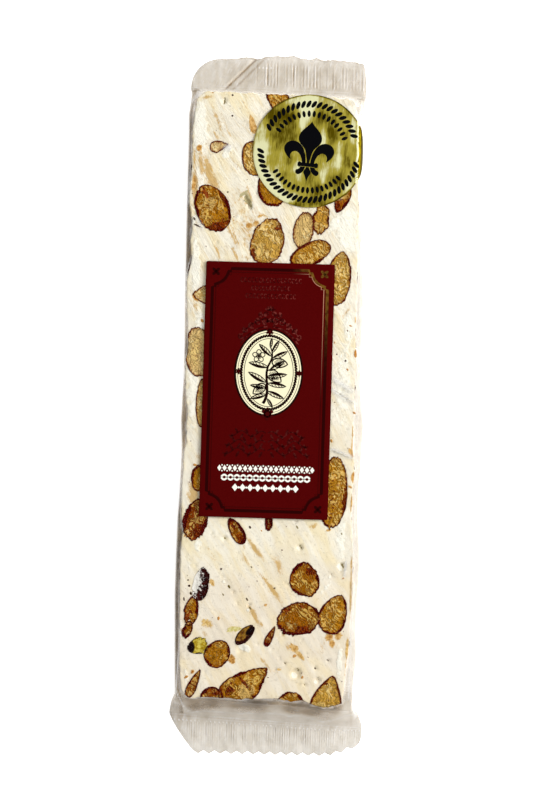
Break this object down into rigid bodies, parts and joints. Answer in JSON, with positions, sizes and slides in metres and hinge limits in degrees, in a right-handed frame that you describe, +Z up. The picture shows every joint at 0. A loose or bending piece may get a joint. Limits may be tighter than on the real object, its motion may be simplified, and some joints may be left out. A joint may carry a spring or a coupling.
{
  "type": "nougat bar",
  "caption": "Slab of soft white almond nougat in a clear flow-wrap with crimped, pinked fins, a maroon card label and a round gold seal folded over one edge.",
  "frame": {"origin": "middle of the flat underside, on the surface that the bar lies on", "axes": "+X across the bar towards the edge with the seal, +Y along the bar towards the seal's end, +Z up through the label"},
  "size_m": [0.065, 0.2349, 0.0173],
  "materials": {
    "nougat_in_film": "ivory nougat with almonds under clear glossy film",
    "label_card": "satin maroon card, pressed frame, cream oval",
    "gold_foil": "brushed olive-gold foil with black print"
  },
  "bodies": {
    "root": {"wrapped_bar": "nougat_in_film", "label_card": "label_card", "gold_seal": "gold_foil"}
  },
  "joints": []
}
